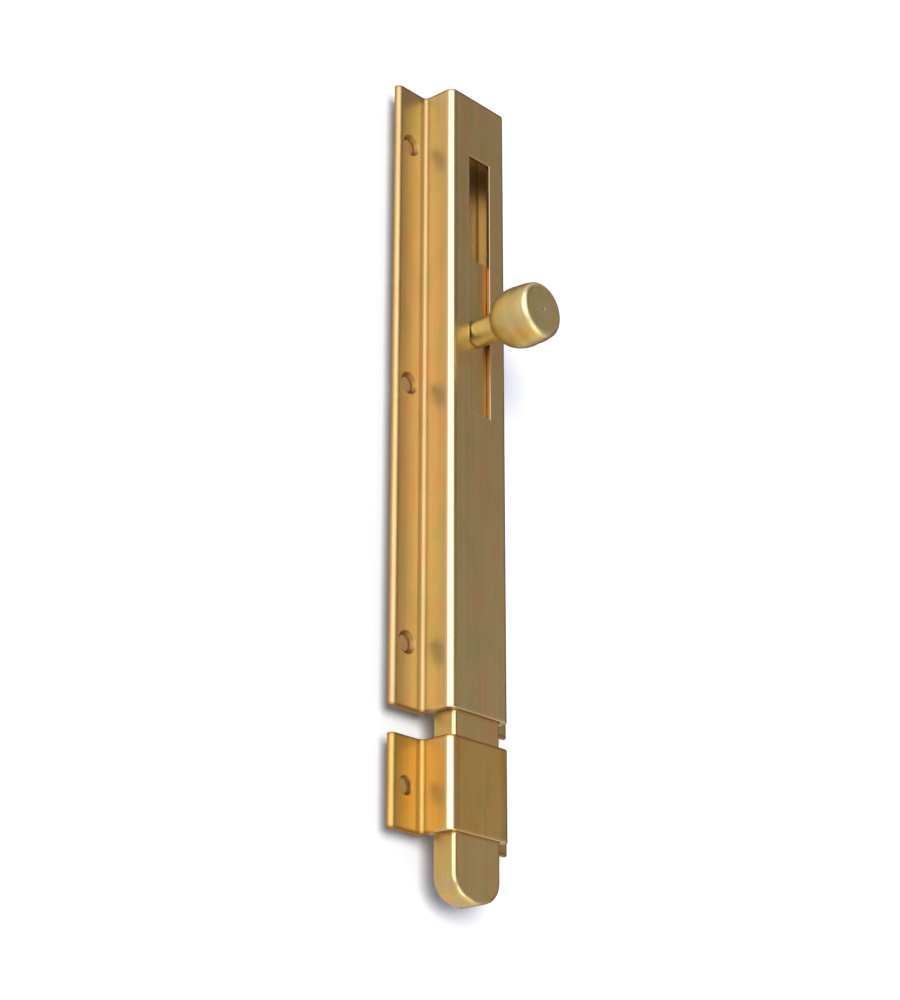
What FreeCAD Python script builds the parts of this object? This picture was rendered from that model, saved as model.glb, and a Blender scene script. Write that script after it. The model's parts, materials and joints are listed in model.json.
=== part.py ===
import FreeCAD, Part
import math
import os

# Brass sliding door bolt, in millimetres
# X runs across the bolt, the front faces -Y and Z runs up along the bolt.
# The origin is the centre of the body's screw pattern on the mounting face, Y = 0.

# Drawn hat section, shared by the body and the keeper
FLANGE_SPAN = 37.5          # across both flanges
BOX_WIDTH = 19.2            # outside width of the raised box
BOX_DEPTH = 9.8             # mounting face to front face
FLANGE_THICK = 1.5
SIDE_WALL = 1.9
FRONT_WALL = 0.9
CORNER_ROUND = 1.9          # front corners of the box, outside
INNER_CORNER_ROUND = 0.7    # front corners of the box, inside
FOOT_FILLET = 1.1           # where a flange meets the box
FLANGE_EDGE_ROUND = 1.3

# Body
BODY_LENGTH = 150.0
FIRST_SCREW = 14.6          # bottom end to the lowest pair of holes
LAST_SCREW = 14.6           # top end to the highest pair of holes
SCREW_ROWS = 3
SLOT_WIDTH = 7.0
SLOT_LENGTH = 64.7
SLOT_BELOW_TOP = 15.7       # top end of the body to the slot's upper end
SLOT_BEVEL = 0.15

# Screw holes
SCREW_SPAN = 29.0           # left hole to right hole
SCREW_HOLE = 3.6
BODY_SINK = 5.2             # mouth of the body's countersinks
KEEPER_SINK = 4.2           # mouth of the keeper's countersinks

# Keeper
KEEPER_LENGTH = 20.4
KEEPER_GAP = 5.8            # body's bottom end to keeper's top end
KEEPER_SCREW = 9.6          # keeper's bottom end to its pair of holes

# Cover plate in its grooves behind the bolt
PLATE_THICK = 1.2
PLATE_SET_IN = 1.2          # mounting face to the back of the plate
PLATE_BITE = 0.6            # how far each edge enters its groove
PLATE_END_STEP = 0.8        # body's end to plate's end
PLATE_CORNER = 1.0
GROOVE_PLAY = 0.05          # each side of the plate
GROOVE_ROOT_PLAY = 0.1

# Sliding bolt
BOLT_SIDE_PLAY = 0.2
BOLT_FRONT_PLAY = 0.1
BOLT_BACK_PLAY = 0.5
BOLT_THROW = 40.4           # tip below the body's bottom end, as stored
BOLT_SET_DOWN = 41.8        # bolt's top end below the body's top end, as stored
BOLT_EDGE_ROUND = 1.0
BOLT_BACK_CHAMFER = 0.3
TIP_RISE = 2.2              # how far the tip's slopes rise from the middle to the sides
TIP_NOSE_RADIUS = 6.0
TIP_CORNER_RADIUS = 5.2

# Friction spring in the back of the bolt
SPRING_POCKET_LENGTH = 44.0
SPRING_POCKET_WIDTH = 7.0
SPRING_POCKET_DEPTH = 1.8
SPRING_BELOW_TOP = 60.0     # bolt's top end to the middle of the pocket
SPRING_THICK = 0.35
SPRING_WIDTH = 6.0
SPRING_FOOT = 3.0
SPRING_END_PLAY = 1.2
SPRING_FACE_PLAY = 0.08     # at the feet and at the crown

# Knob, turned in one piece with its neck and screwed spigot
KNOB_BELOW_TOP = 18.4       # bolt's top end to the knob's axis
KNOB_DIAMETER = 13.7
KNOB_END_DIAMETER = 13.2
KNOB_END_ROUND = 1.2
KNOB_NOSE = 4.6             # end face back to the widest ring
KNOB_HEAD = 12.8            # end face back to the neck
KNOB_STAND_OFF = 6.0        # front face of the box to the back of the head
KNOB_BACK_FULLNESS = 0.82   # share of the back's width reached at the point below
KNOB_BACK_FULL_AT = 0.62    # that point's share of the way from the widest ring to the neck
KNOB_NOSE_DROP = 0.27       # share of the nose's taper lost half way to the end face
NECK_DIAMETER = 6.5
NECK_FILLET = 0.5
SPIGOT_DIAMETER = 4.0
SPIGOT_LENGTH = 4.0
SPIGOT_PLAY = 0.05
SPIGOT_HOLE_SPARE = 0.5
CENTRE_MARK_DIAMETER = 1.0
CENTRE_MARK_DEPTH = 0.35

# Places worked out from the sizes above
SCREW_RUN = BODY_LENGTH - FIRST_SCREW - LAST_SCREW
BODY_BOTTOM = -FIRST_SCREW - SCREW_RUN / 2
BODY_TOP = BODY_BOTTOM + BODY_LENGTH
KEEPER_TOP = BODY_BOTTOM - KEEPER_GAP
KEEPER_BOTTOM = KEEPER_TOP - KEEPER_LENGTH
SLOT_TOP = BODY_TOP - SLOT_BELOW_TOP
SLOT_BOTTOM = SLOT_TOP - SLOT_LENGTH
HALF_INSIDE = BOX_WIDTH / 2 - SIDE_WALL
FRONT_FACE = -BOX_DEPTH
INNER_FRONT = -(BOX_DEPTH - FRONT_WALL)
PLATE_BACK = -PLATE_SET_IN
PLATE_FRONT = PLATE_BACK - PLATE_THICK
BOLT_BACK = PLATE_FRONT - BOLT_BACK_PLAY
BOLT_FRONT = INNER_FRONT + BOLT_FRONT_PLAY
BOLT_HALF = HALF_INSIDE - BOLT_SIDE_PLAY
BOLT_TIP = BODY_BOTTOM - BOLT_THROW
BOLT_TOP = BODY_TOP - BOLT_SET_DOWN
KNOB_Z = BOLT_TOP - KNOB_BELOW_TOP
HEAD_BACK = FRONT_FACE - KNOB_STAND_OFF
HEAD_END = HEAD_BACK - KNOB_HEAD
SPRING_Z = BOLT_TOP - SPRING_BELOW_TOP
POCKET_FLOOR = BOLT_BACK - SPRING_POCKET_DEPTH
SAME_POINT = 1e-6           # points nearer than this are one point


def vec(x, y, z=0.0):
    """Point or direction."""
    return FreeCAD.Vector(x, y, z)


def rounded_wire(corners):
    """Closed wire through (point, radius) corners, with an arc where the radius isn't zero."""
    edges = []
    starts = []
    ends = []
    count = len(corners)
    for i, (point, radius) in enumerate(corners):
        to_last = (corners[i - 1][0] - point).normalize()
        to_next = (corners[(i + 1) % count][0] - point).normalize()
        if radius == 0:
            starts.append(point)
            ends.append(point)
            continue
        half_angle = to_last.getAngle(to_next) / 2
        set_back = radius / math.tan(half_angle)
        middle_way = (to_last + to_next).normalize()
        centre = point + middle_way * (radius / math.sin(half_angle))
        starts.append(point + to_last * set_back)
        ends.append(point + to_next * set_back)
        edges.append(Part.Arc(starts[-1], centre - middle_way * radius, ends[-1]).toShape())
    for i in range(count):
        here = ends[i]
        there = starts[(i + 1) % count]
        if here.distanceToPoint(there) > SAME_POINT:
            edges.append(Part.LineSegment(here, there).toShape())
    return Part.Wire(Part.__sortEdges__(edges))


def both_sides(corners):
    """The corners, then their mirror images in X in the opposite order."""
    mirrored = [(vec(-p.x, p.y, p.z), r) for p, r in reversed(corners)]
    return corners + mirrored


def hat_section():
    """Face of the section: two flanges, a raised box open at the back, and a groove in each wall."""
    half_span = FLANGE_SPAN / 2
    half_box = BOX_WIDTH / 2
    groove_back = PLATE_BACK + GROOVE_PLAY
    groove_front = PLATE_FRONT - GROOVE_PLAY
    groove_root = HALF_INSIDE + PLATE_BITE + GROOVE_ROOT_PLAY
    outside = [
        (vec(half_span, 0), 0),
        (vec(half_span, -FLANGE_THICK), FLANGE_EDGE_ROUND),
        (vec(half_box, -FLANGE_THICK), FOOT_FILLET),
        (vec(half_box, FRONT_FACE), CORNER_ROUND),
    ]
    inside = [
        (vec(-HALF_INSIDE, 0), 0),
        (vec(-HALF_INSIDE, groove_back), 0),
        (vec(-groove_root, groove_back), 0),
        (vec(-groove_root, groove_front), 0),
        (vec(-HALF_INSIDE, groove_front), 0),
        (vec(-HALF_INSIDE, INNER_FRONT), INNER_CORNER_ROUND),
    ]
    return Part.Face(rounded_wire(both_sides(outside) + both_sides(inside)))


def section_length(bottom, top):
    """A length of the drawn section between two heights."""
    bar = hat_section().extrude(vec(0, 0, top - bottom))
    bar.translate(vec(0, 0, bottom))
    return bar


def screw_hole(x, z, sink_diameter):
    """Cutter for one countersunk hole through a flange, opening at its front face."""
    radius = SCREW_HOLE / 2
    sink_depth = (sink_diameter - SCREW_HOLE) / 2
    hole = Part.makeCylinder(radius, 3 * FLANGE_THICK, vec(x, FLANGE_THICK, z), vec(0, -1, 0))
    mouth = vec(x, -FLANGE_THICK - sink_depth, z)
    sink = Part.makeCone(sink_diameter / 2 + sink_depth, radius, 2 * sink_depth, mouth, vec(0, 1, 0))
    return hole.fuse(sink)


def cut_screw_holes(piece, rows, sink_diameter):
    """The piece with a pair of screw holes at each height in rows."""
    cutters = [
        screw_hole(side * SCREW_SPAN / 2, z, sink_diameter)
        for z in rows
        for side in (-1, 1)
    ]
    return piece.cut(cutters)


def rectangle_corners(half_width, low, high, y):
    """Corners of an upright rectangle at depth y, in turn."""
    across = ((-half_width, low), (half_width, low), (half_width, high), (-half_width, high))
    return [vec(x, y, z) for x, z in across]


def upright_rectangle(half_width, low, high, y):
    """Closed wire round such a rectangle."""
    corners = rectangle_corners(half_width, low, high, y)
    return Part.makePolygon(corners + corners[:1])


def slot_cutter():
    """The knob's slot through the front wall, with a bevel round its mouth."""
    half = SLOT_WIDTH / 2
    start = vec(-half, FRONT_FACE - FRONT_WALL, SLOT_BOTTOM)
    slot = Part.makeBox(SLOT_WIDTH, 3 * FRONT_WALL, SLOT_LENGTH, start)
    wide = 2 * SLOT_BEVEL
    outer_low = SLOT_BOTTOM - wide
    outer_high = SLOT_TOP + wide
    outer = upright_rectangle(half + wide, outer_low, outer_high, FRONT_FACE - SLOT_BEVEL)
    inner = upright_rectangle(half, SLOT_BOTTOM, SLOT_TOP, FRONT_FACE + SLOT_BEVEL)
    return slot.fuse(Part.makeLoft([outer, inner], True, True))


def make_body():
    """Drawn body with its slot and three rows of screw holes."""
    body = section_length(BODY_BOTTOM, BODY_TOP).cut(slot_cutter())
    pitch = SCREW_RUN / (SCREW_ROWS - 1)
    rows = [pitch * i - SCREW_RUN / 2 for i in range(SCREW_ROWS)]
    return cut_screw_holes(body, rows, BODY_SINK)


def make_keeper():
    """Short length of the same section, with one row of screw holes near its middle."""
    keeper = section_length(KEEPER_BOTTOM, KEEPER_TOP)
    return cut_screw_holes(keeper, [KEEPER_BOTTOM + KEEPER_SCREW], KEEPER_SINK)


def make_back_plate():
    """Thin plate that slides into the grooves and closes the body behind the bolt."""
    half = HALF_INSIDE + PLATE_BITE
    low = BODY_BOTTOM + PLATE_END_STEP
    high = BODY_TOP - PLATE_END_STEP
    corners = [(point, PLATE_CORNER) for point in rectangle_corners(half, low, high, PLATE_FRONT)]
    return Part.Face(rounded_wire(corners)).extrude(vec(0, PLATE_THICK, 0))


def bolt_outline(y):
    """Front outline of the bolt: square top, and a tip of two low slopes with rounded corners and nose."""
    slope = math.atan2(TIP_RISE, BOLT_HALF)
    nose = BOLT_TIP - TIP_NOSE_RADIUS * (1 / math.cos(slope) - 1)
    shoulder = nose + TIP_RISE
    return rounded_wire([
        (vec(-BOLT_HALF, y, BOLT_TOP), 0),
        (vec(BOLT_HALF, y, BOLT_TOP), 0),
        (vec(BOLT_HALF, y, shoulder), TIP_CORNER_RADIUS),
        (vec(0, y, nose), TIP_NOSE_RADIUS),
        (vec(-BOLT_HALF, y, shoulder), TIP_CORNER_RADIUS),
    ])


def depth_of(face):
    """How far back the middle of a face lies."""
    return face.CenterOfMass.y


def height_of(edge):
    """How high the middle of an edge lies."""
    return edge.CenterOfMass.z


def make_bolt():
    """Flat bar with rounded front edges, a hole for the knob's spigot and a pocket for the spring."""
    bar = Part.Face(bolt_outline(BOLT_BACK)).extrude(vec(0, BOLT_FRONT - BOLT_BACK, 0))
    front_edges = min(bar.Faces, key=depth_of).Edges
    sawn = max(front_edges, key=height_of)
    bar = bar.makeFillet(BOLT_EDGE_ROUND, [edge for edge in front_edges if not edge.isSame(sawn)])
    bar = bar.makeChamfer(BOLT_BACK_CHAMFER, max(bar.Faces, key=depth_of).Edges)
    hole_depth = SPIGOT_LENGTH + SPIGOT_HOLE_SPARE
    hole_start = vec(0, BOLT_FRONT, KNOB_Z)
    hole = Part.makeCylinder(SPIGOT_DIAMETER / 2, hole_depth, hole_start, vec(0, 1, 0))
    pocket_low = SPRING_Z - SPRING_POCKET_LENGTH / 2
    pocket_start = vec(-SPRING_POCKET_WIDTH / 2, POCKET_FLOOR, pocket_low)
    pocket_depth = 2 * SPRING_POCKET_DEPTH
    pocket = Part.makeBox(SPRING_POCKET_WIDTH, pocket_depth, SPRING_POCKET_LENGTH, pocket_start)
    return bar.cut([hole, pocket])


def leaf_side(height, crown_height):
    """Side view of one face of the leaf: a flat foot, the bow and the other foot, from low to high."""
    half = SPRING_POCKET_LENGTH / 2 - SPRING_END_PLAY
    bow = half - SPRING_FOOT
    x = -SPRING_WIDTH / 2
    end_low = vec(x, height, SPRING_Z - half)
    bow_low = vec(x, height, SPRING_Z - bow)
    crown = vec(x, crown_height, SPRING_Z)
    bow_high = vec(x, height, SPRING_Z + bow)
    end_high = vec(x, height, SPRING_Z + half)
    curves = [
        Part.LineSegment(end_low, bow_low),
        Part.Arc(bow_low, crown, bow_high),
        Part.LineSegment(bow_high, end_high),
    ]
    return [curve.toShape() for curve in curves], end_low, end_high


def make_spring():
    """Bowed leaf: flat feet on the pocket's floor, and a crown that rubs on the cover plate."""
    foot_face = POCKET_FLOOR + SPRING_FACE_PLAY
    crown_face = PLATE_FRONT - SPRING_FACE_PLAY
    inner, inner_low, inner_high = leaf_side(foot_face, crown_face - SPRING_THICK)
    outer, outer_low, outer_high = leaf_side(foot_face + SPRING_THICK, crown_face)
    ends = [
        Part.LineSegment(inner_low, outer_low).toShape(),
        Part.LineSegment(inner_high, outer_high).toShape(),
    ]
    leaf = Part.Face(Part.Wire(Part.__sortEdges__(inner + outer + ends)))
    return leaf.extrude(vec(SPRING_WIDTH, 0, 0))


def knob_stem():
    """Turned outline of the spigot in the bolt and the neck through the slot, as (start, end) lines."""
    neck = NECK_DIAMETER / 2
    spigot = SPIGOT_DIAMETER / 2 - SPIGOT_PLAY
    spigot_end = BOLT_FRONT + SPIGOT_LENGTH
    points = [
        vec(0, spigot_end),
        vec(spigot, spigot_end),
        vec(spigot, BOLT_FRONT),
        vec(neck, BOLT_FRONT),
        vec(neck, HEAD_BACK + NECK_FILLET),
    ]
    return [Part.LineSegment(start, end).toShape() for start, end in zip(points, points[1:])]


def knob_head():
    """Turned outline of the head: a full back, a slight taper past the widest ring and a flat end."""
    neck = NECK_DIAMETER / 2
    root = neck + NECK_FILLET
    widest = KNOB_DIAMETER / 2
    end = KNOB_END_DIAMETER / 2
    ring = HEAD_END + KNOB_NOSE
    back_full = vec(
        root + (widest - root) * KNOB_BACK_FULLNESS,
        ring + (HEAD_BACK - ring) * KNOB_BACK_FULL_AT,
    )
    nose_full = vec(widest - (widest - end) * KNOB_NOSE_DROP, ring - KNOB_NOSE / 2)
    off_corner = 1 - math.sqrt(0.5)
    neck_curve = vec(neck + NECK_FILLET * off_corner, HEAD_BACK + NECK_FILLET * off_corner)
    end_curve = vec(end - KNOB_END_ROUND * off_corner, HEAD_END + KNOB_END_ROUND * off_corner)
    neck_end = vec(neck, HEAD_BACK + NECK_FILLET)
    back_start = vec(root, HEAD_BACK)
    nose_end = vec(end, HEAD_END + KNOB_END_ROUND)
    face_start = vec(end - KNOB_END_ROUND, HEAD_END)
    face_end = vec(CENTRE_MARK_DIAMETER / 2, HEAD_END)
    mark_bottom = vec(0, HEAD_END + CENTRE_MARK_DEPTH)
    curves = [
        Part.Arc(neck_end, neck_curve, back_start),
        Part.Arc(back_start, back_full, vec(widest, ring)),
        Part.Arc(vec(widest, ring), nose_full, nose_end),
        Part.Arc(nose_end, end_curve, face_start),
        Part.LineSegment(face_start, face_end),
        Part.LineSegment(face_end, mark_bottom),
        Part.LineSegment(mark_bottom, vec(0, BOLT_FRONT + SPIGOT_LENGTH)),
    ]
    return [curve.toShape() for curve in curves]


def make_knob():
    """Knob turned in one piece with its neck and spigot."""
    outline = Part.Face(Part.Wire(knob_stem() + knob_head()))
    knob = outline.revolve(vec(0, 0, 0), vec(0, 1, 0), 360)
    knob.translate(vec(0, 0, KNOB_Z))
    return knob


def write_parts():
    """Builds each piece and writes it under its own name."""
    os.makedirs("parts", exist_ok=True)
    pieces = {
        "body_channel": make_body(),
        "back_plate": make_back_plate(),
        "keeper": make_keeper(),
        "sliding_bolt": make_bolt(),
        "knob": make_knob(),
        "friction_spring": make_spring(),
    }
    for name, shape in pieces.items():
        print(name, "solids", len(shape.Solids), "valid", shape.isValid(), "mm3", round(shape.Volume, 2))
        shape.exportStep(os.path.join("parts", name + ".step"))
    neck = NECK_DIAMETER / 2
    print("travel up", round(SLOT_TOP - neck - KNOB_Z, 2), "down", round(KNOB_Z - neck - SLOT_BOTTOM, 2))


write_parts()
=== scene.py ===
"""Brass sliding door bolt: the finished surfaces, the studio and the camera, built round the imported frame.

Sizes in the dataclasses are millimetres, and every mesh is turned to metres when it is made. X runs across
the bolt, the front faces -Y and Z runs up along the bolt, as in the frame.
"""

import json
import logging
import math
from dataclasses import dataclass, field
from enum import Enum

import bmesh
import bpy
import numpy as np
from mathutils import Matrix, Vector
from mathutils.geometry import tessellate_polygon


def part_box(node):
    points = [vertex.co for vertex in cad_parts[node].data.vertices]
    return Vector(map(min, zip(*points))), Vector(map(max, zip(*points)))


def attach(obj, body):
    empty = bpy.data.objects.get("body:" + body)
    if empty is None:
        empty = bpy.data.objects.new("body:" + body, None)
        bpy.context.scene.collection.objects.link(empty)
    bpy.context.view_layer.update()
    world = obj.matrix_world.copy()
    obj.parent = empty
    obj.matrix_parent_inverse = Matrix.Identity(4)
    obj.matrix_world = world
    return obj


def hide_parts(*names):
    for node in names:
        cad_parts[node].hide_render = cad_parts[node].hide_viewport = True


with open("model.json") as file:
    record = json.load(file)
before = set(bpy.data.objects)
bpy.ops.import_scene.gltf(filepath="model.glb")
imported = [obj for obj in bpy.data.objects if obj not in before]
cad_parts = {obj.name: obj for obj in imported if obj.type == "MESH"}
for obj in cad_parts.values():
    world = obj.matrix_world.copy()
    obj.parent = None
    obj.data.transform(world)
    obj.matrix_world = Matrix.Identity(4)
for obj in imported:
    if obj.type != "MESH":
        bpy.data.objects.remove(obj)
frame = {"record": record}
log = logging.getLogger("door_bolt")

MM = 0.001
SEAM = 1e-6                    # metres, points closer than this are one point
NEAR = 1e-6                    # millimetres, slack in a test of whether a line lies on an edge
SAME_DIGITS = 9                # decimals of a millimetre by which two lines are told apart
SHARP_ANGLE = math.radians(32)
FIRST_STEP = 0.012             # share of an arc's turn taken by its first and last facet

COLOURS = {"data_type": "RGBA"}                         # a Mix node of colours
SMOOTH = {"interpolation_type": "SMOOTHSTEP"}           # a Map Range that eases in and out
# Sockets that share a name on their node, so that they go by number.
FACTOR, FIRST, SECOND, MIXED = 0, 6, 7, 2               # a Mix of colours: three inputs and its output
FIRST_VALUE, SECOND_VALUE = 2, 3                        # a Mix of values
FROM_LOW, FROM_HIGH, TO_LOW, TO_HIGH = 1, 2, 3, 4       # a Map Range

Tree = bpy.types.NodeTree
Socket = bpy.types.NodeSocket
Run = tuple[np.ndarray, np.ndarray | float]             # points of an outline, with their wear and painted light and shade


class Along(Enum):
    """Axis that an outline is carried along, with the axes that its two coordinates lie on."""

    X = (1, 2, 0)
    Y = (0, 2, 1)
    Z = (0, 1, 2)


class Marks(Enum):
    """How a surface was worked, which sets the run of its fine marks."""

    DRAWN = "drawn"
    TURNED = "turned"


class Pattern(Enum):
    """The noises of a finish, each with the shift that keeps it apart from the others."""

    DRAWN_MARKS = 3.1
    TURNED_MARKS = 5.7
    WARM_PATCHES = 11.3
    STRIPES = 23.7
    OLIVE_PATCHES = 47.9
    PITS = 71.3


@dataclass(frozen=True)
class Extent:
    """Lowest and highest corner of a frame node, in millimetres."""

    low: np.ndarray
    high: np.ndarray

    @staticmethod
    def of(node: str) -> "Extent":
        """Extent of the named frame node."""
        low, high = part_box(node)
        return Extent(np.array(low) / MM, np.array(high) / MM)

    def side(self, axis: int) -> tuple[float, float]:
        """Lowest and highest place along one axis: 0 for X, 1 for Y, 2 for Z."""
        return self.low[axis], self.high[axis]


def arc(centre: tuple[float, float], radius: float, start: float, end: float, facets: int) -> np.ndarray:
    """Points of a circular arc: the centre plus the radius times the cosine and sine of each angle.

    The first and last facets are very short, so that the flats beside the arc stay flat when shaded.

    Args:
        centre: Centre of the circle.
        radius: Radius of the circle.
        start: First angle, in degrees.
        end: Last angle, in degrees.
        facets: Number of even facets between the two short ones.

    Returns:
        Array of shape (facets + 3, 2).
    """
    share = np.concatenate([[0.0], np.linspace(FIRST_STEP, 1 - FIRST_STEP, facets + 1), [1.0]])
    angle = np.radians(start + (end - start) * share)
    return np.array(centre) + radius * np.column_stack([np.cos(angle), np.sin(angle)])


def rubbed(points: np.ndarray, most: float) -> np.ndarray:
    """Wear of an arc's points: the most at its middle, down to 0 at its ends, as a squared half wave."""
    return most * np.sin(np.linspace(0, np.pi, len(points))) ** 2


def arc_through(start: tuple[float, float], middle: tuple[float, float], finish: tuple[float, float],
                facets: int) -> np.ndarray:
    """Circular arc through three points, in steps of even angle.

    The centre is where the perpendicular bisectors of the two chords meet.

    Args:
        start: First point.
        middle: A point on the way.
        finish: Last point.
        facets: Number of facets.

    Returns:
        Array of shape (facets + 1, 2).
    """
    first, second, third = (np.array(point, float) for point in (start, middle, finish))
    sides = 2 * np.array([second - first, third - second])
    squares = np.array([second @ second - first @ first, third @ third - second @ second])
    centre = np.linalg.solve(sides, squares)
    angles = np.unwrap([math.atan2(*(point - centre)[::-1]) for point in (first, second, third)])
    angle = np.linspace(angles[0], angles[2], facets + 1)
    radius = np.linalg.norm(first - centre)
    return centre + radius * np.column_stack([np.cos(angle), np.sin(angle)])


def mirrored(points: np.ndarray) -> np.ndarray:
    """The points with their first coordinate negated, in the opposite order."""
    return points[::-1] * np.array([-1.0, 1.0])


def level_run(across: np.ndarray, height: float) -> np.ndarray:
    """Points at the given first coordinates, all with one second coordinate."""
    return np.column_stack([across, np.full(len(across), height)])


def joined(runs: list[Run]) -> tuple[np.ndarray, np.ndarray]:
    """Points of all the runs end to end, and their wear."""
    points = np.concatenate([run for run, _ in runs])
    return points, np.concatenate([np.broadcast_to(value, len(run)) for run, value in runs])


def inset(loop: np.ndarray, distance: float) -> np.ndarray:
    """Closed loop moved inwards by a distance, with mitred corners.

    Each point moves by (n1 + n2) / (1 + n1 . n2) times the distance, where n1 and n2 are the inward normals
    of the two edges that meet there.

    Args:
        loop: Closed outline of shape (n, 2), in either direction.
        distance: How far inwards.

    Returns:
        Array of the same shape.
    """
    edge = np.roll(loop, -1, axis=0) - loop
    area = np.sum(loop[:, 0] * np.roll(loop[:, 1], -1) - loop[:, 1] * np.roll(loop[:, 0], -1))
    normal = np.column_stack([-edge[:, 1], edge[:, 0]]) * np.sign(area)
    normal /= np.linalg.norm(normal, axis=1, keepdims=True)
    before = np.roll(normal, 1, axis=0)
    share = 1 + np.sum(normal * before, axis=1, keepdims=True)
    return loop + distance * (normal + before) / share


def rounded_rows(low: float, high: float, low_round: float, high_round: float, facets: int = 4) -> np.ndarray:
    """Rows of (inset, place) that carry an outline from low to high, with a quarter round at each end.

    At an angle a of the round the inset is r (1 - cos a) and the place lies r (1 - sin a) short of the end.

    Args:
        low: Place of the lower end.
        high: Place of the higher end.
        low_round: Radius of the round at the lower end.
        high_round: Radius of the round at the higher end.
        facets: Even facets in each round.

    Returns:
        Array of shape (rows, 2), from low to high.
    """
    quarter = arc((0.0, 0.0), 1.0, 0.0, 90.0, facets)
    turn = 1 - quarter
    top = np.column_stack([turn[:, 0] * high_round, high - turn[:, 1] * high_round])
    bottom = np.column_stack([turn[:, 0] * low_round, low + turn[:, 1] * low_round])
    return np.concatenate([bottom[::-1], top])


def linked(name: str, data: bpy.types.ID) -> bpy.types.Object:
    """Object of a mesh, lamp or camera, in the scene."""
    made = bpy.data.objects.new(name, data)
    bpy.context.scene.collection.objects.link(made)
    return made


@dataclass
class Skin:
    """Patches of one piece, gathered in millimetres and welded into one closed mesh."""

    name: str
    points: list[np.ndarray] = field(default_factory=list)
    faces: list[np.ndarray] = field(default_factory=list)
    wear_and_painted_light: list[np.ndarray] = field(default_factory=list)
    count: int = 0

    def add(self, points: np.ndarray, faces: np.ndarray, wear_and_painted_light: np.ndarray | float) -> None:
        """Adds points with the faces between them.

        Args:
            points: Array of shape (n, 3).
            faces: Array of point numbers, three or four to a row.
            wear_and_painted_light: Value of each point, or one value for all: 1 where rubbed bright, and
                where a highlight is painted; -1 where grime stays, and where shade is painted.
        """
        self.points.append(points)
        self.faces.append(faces + self.count)
        self.wear_and_painted_light.append(np.broadcast_to(np.asarray(wear_and_painted_light, float), (len(points),)))
        self.count += len(points)

    def grid(self, points: np.ndarray, wear_and_painted_light: np.ndarray | float = 0.0,
             keep: np.ndarray | None = None) -> None:
        """Adds a sheet of quads over a grid of points whose second direction closes on itself.

        Points that no kept quad uses are left out.

        Args:
            points: Array of shape (rows, columns, 3).
            wear_and_painted_light: Value for all points, or an array that fits (rows, columns).
            keep: Which of the (rows - 1, columns) quads are there, or None for all.
        """
        rows, columns = points.shape[:2]
        number = np.arange(rows * columns).reshape(rows, columns)
        beside = np.roll(number, -1, axis=1)
        quads = np.stack([number[:-1], beside[:-1], beside[1:], number[1:]], axis=-1)
        chosen = quads.reshape(-1, 4) if keep is None else quads[keep]
        spread = np.broadcast_to(np.asarray(wear_and_painted_light, float), (rows, columns)).ravel()
        used, chosen = np.unique(chosen, return_inverse=True)
        self.add(points.reshape(-1, 3)[used], chosen.reshape(-1, 4), spread[used])

    def cap(self, loops: list[np.ndarray], wear_and_painted_light: float = 0.0) -> None:
        """Closes a flat opening, with holes where more than one loop is given.

        Args:
            loops: Outer loop first, then the holes, each of shape (n, 3).
            wear_and_painted_light: Value of the loops' points.
        """
        triangles = np.array(tessellate_polygon([[Vector(p) for p in loop] for loop in loops]))
        self.add(np.concatenate(loops), triangles, wear_and_painted_light)

    def piece(self) -> bpy.types.Object:
        """Welds the patches, turns their faces outwards and makes the object, with its wear and painted light
        and shade as an attribute.

        Returns:
            The new object, at the origin, in metres.
        """
        mesh = bpy.data.meshes.new(self.name)
        points = np.concatenate(self.points) * MM
        faces = [row for block in self.faces for row in block.tolist()]
        mesh.from_pydata(points.tolist(), [], faces)
        attribute = mesh.attributes.new("wear_and_painted_light", "FLOAT", "POINT")
        attribute.data.foreach_set("value", np.concatenate(self.wear_and_painted_light).astype(np.float32))
        shell = bmesh.new()
        shell.from_mesh(mesh)
        bmesh.ops.remove_doubles(shell, verts=shell.verts, dist=SEAM)
        bmesh.ops.dissolve_degenerate(shell, edges=shell.edges, dist=SEAM)
        bmesh.ops.recalc_face_normals(shell, faces=shell.faces)
        shell.to_mesh(mesh)
        shell.free()
        mesh.polygons.foreach_set("use_smooth", np.ones(len(mesh.polygons), bool))
        mesh.set_sharp_from_angle(angle=SHARP_ANGLE)
        mesh.update()
        return linked(self.name, mesh)


def placed(loop: np.ndarray, along: Along, place: float | np.ndarray) -> np.ndarray:
    """Points of a flat loop in space.

    Args:
        loop: Array of shape (n, 2).
        along: Axis square to the loop.
        place: Where on that axis the loop lies.

    Returns:
        Array of shape (n, 3).
    """
    first, second, axis = along.value
    points = np.zeros((len(loop), 3))
    points[:, first] = loop[:, 0]
    points[:, second] = loop[:, 1]
    points[:, axis] = place
    return points


def carried(loop: np.ndarray, rows: np.ndarray, along: Along) -> np.ndarray:
    """Grid of an outline carried along an axis, moved inwards by each row's inset.

    Args:
        loop: Closed outline of shape (n, 2).
        rows: Array of (inset, place).
        along: Axis that it is carried along.

    Returns:
        Array of shape (rows, n, 3).
    """
    return np.stack([placed(inset(loop, step), along, place) for step, place in rows])


def plate_of(name: str, loop: np.ndarray, rows: np.ndarray, along: Along,
             wear_and_painted_light: float = 0.0) -> bpy.types.Object:
    """Piece of one thickness: an outline carried along an axis and closed at both ends.

    Args:
        name: Name of the piece.
        loop: Closed outline of shape (n, 2).
        rows: Array of (inset, place).
        along: Axis that it is carried along.
        wear_and_painted_light: Value of its edges.

    Returns:
        The piece.
    """
    rings = carried(loop, rows, along)
    skin = Skin(name)
    skin.grid(rings, wear_and_painted_light)
    skin.cap([rings[0]])
    skin.cap([rings[-1]])
    return skin.piece()


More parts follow.
